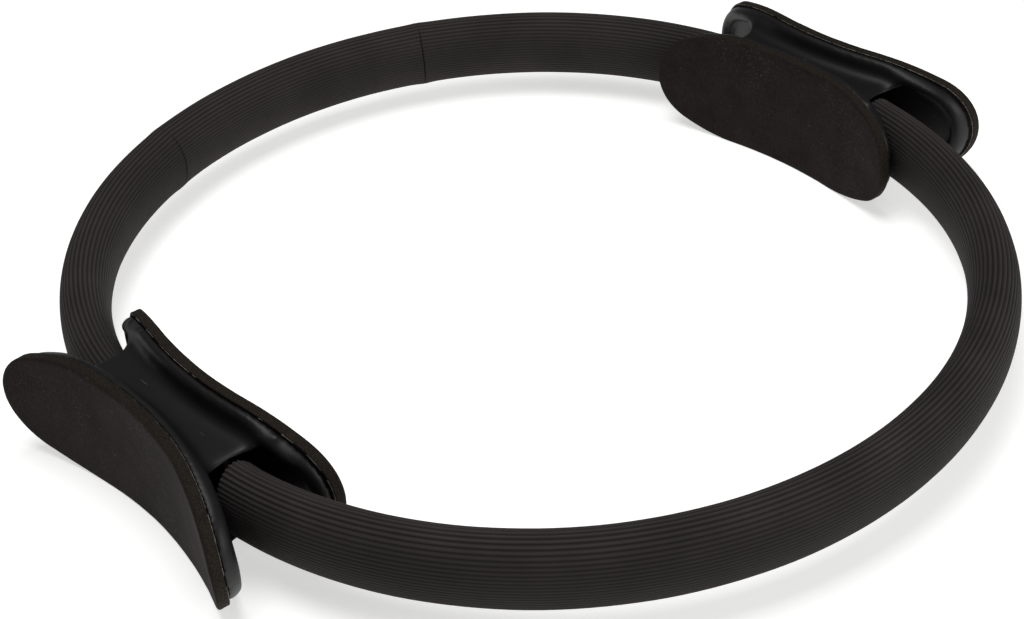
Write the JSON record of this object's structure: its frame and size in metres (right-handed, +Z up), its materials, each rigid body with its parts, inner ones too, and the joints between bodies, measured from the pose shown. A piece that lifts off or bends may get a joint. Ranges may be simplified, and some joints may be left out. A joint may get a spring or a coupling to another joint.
{
  "type": "pilates ring",
  "caption": "Flexible exercise hoop: a flat spring in a ribbed foam sleeve, held between opposed padded saddle handles that are squeezed together or pressed apart.",
  "frame": {"origin": "on the floor below the ring's centre, the ring lying flat on the edges of its handles", "axes": "+Z up, square to the ring; +X from the left handle to the right one; +Y across the ring to the back half hoop"},
  "size_m": [0.376, 0.3736, 0.0496],
  "materials": {
    "saddle_plastic": "satin moulded polypropylene, black",
    "pad_foam": "matt EVA foam sheet, warm black, cut edges",
    "sleeve_foam": "matt extruded foam with fine lengthwise ribs, black",
    "steel": "bare spring steel and zinc-plated screws"
  },
  "bodies": {
    "left_handle": {"left_saddle": "saddle_plastic", "left_outer_pad": "pad_foam", "left_inner_pad": "pad_foam", "left_spring_screws": "steel", "left_spring_ends": "steel"},
    "right_handle": {"right_saddle": "saddle_plastic", "right_outer_pad": "pad_foam", "right_inner_pad": "pad_foam", "right_spring_screws": "steel", "right_spring_ends": "steel"},
    "front_left_link": {"front_left_sleeve": "sleeve_foam", "front_left_spring": "steel"},
    "front_middle_link": {"front_middle_sleeve": "sleeve_foam", "front_middle_spring": "steel"},
    "front_right_link": {"front_right_sleeve": "sleeve_foam", "front_right_spring": "steel"},
    "back_left_link": {"back_left_sleeve": "sleeve_foam", "back_left_spring": "steel"},
    "back_middle_link": {"back_middle_sleeve": "sleeve_foam", "back_middle_spring": "steel"},
    "back_right_link": {"back_right_sleeve": "sleeve_foam", "back_right_spring": "steel"}
  },
  "joints": [
    {"name": "squeeze", "type": "hinge", "parent": "left_handle", "child": "front_left_link", "pos_m": [-0.15933, -0.032, 0.0248], "axis": [0, 0, -1], "range_deg": [-3, 14], "stiffness_Nm_per_rad": 19},
    {"name": "front_left_flex", "type": "hinge", "parent": "front_left_link", "child": "front_middle_link", "pos_m": [-0.06762, -0.16241, 0.0248], "axis": [0, 0, 1], "range_deg": [-3, 14], "stiffness_Nm_per_rad": 19},
    {"name": "front_right_flex", "type": "hinge", "parent": "front_middle_link", "child": "front_right_link", "pos_m": [0.06762, -0.16241, 0.0248], "axis": [0, 0, 1], "range_deg": [-3, 14], "stiffness_Nm_per_rad": 19},
    {"name": "right_handle_flex", "type": "hinge", "parent": "front_right_link", "child": "right_handle", "pos_m": [0.15933, -0.032, 0.0248], "axis": [0, 0, -1], "range_deg": [-3, 14], "stiffness_Nm_per_rad": 19},
    {"name": "back_left_mouth_flex", "type": "hinge", "parent": "left_handle", "child": "back_left_link", "pos_m": [-0.15933, 0.032, 0.0248], "axis": [0, 0, 1], "range_deg": [-3, 14], "stiffness_Nm_per_rad": 19},
    {"name": "back_left_flex", "type": "hinge", "parent": "back_left_link", "child": "back_middle_link", "pos_m": [-0.06762, 0.16241, 0.0248], "axis": [0, 0, -1], "range_deg": [-3, 14], "stiffness_Nm_per_rad": 19},
    {"name": "back_right_flex", "type": "hinge", "parent": "back_middle_link", "child": "back_right_link", "pos_m": [0.06762, 0.16241, 0.0248], "axis": [0, 0, -1], "range_deg": [-3, 14], "stiffness_Nm_per_rad": 19}
  ],
  "couplings": [
    {"joint": "front_left_flex", "follows": "squeeze", "ratio": 1},
    {"joint": "front_right_flex", "follows": "squeeze", "ratio": 1},
    {"joint": "right_handle_flex", "follows": "squeeze", "ratio": 1},
    {"joint": "back_left_mouth_flex", "follows": "squeeze", "ratio": 1},
    {"joint": "back_left_flex", "follows": "squeeze", "ratio": 1},
    {"joint": "back_right_flex", "follows": "squeeze", "ratio": 1}
  ]
}
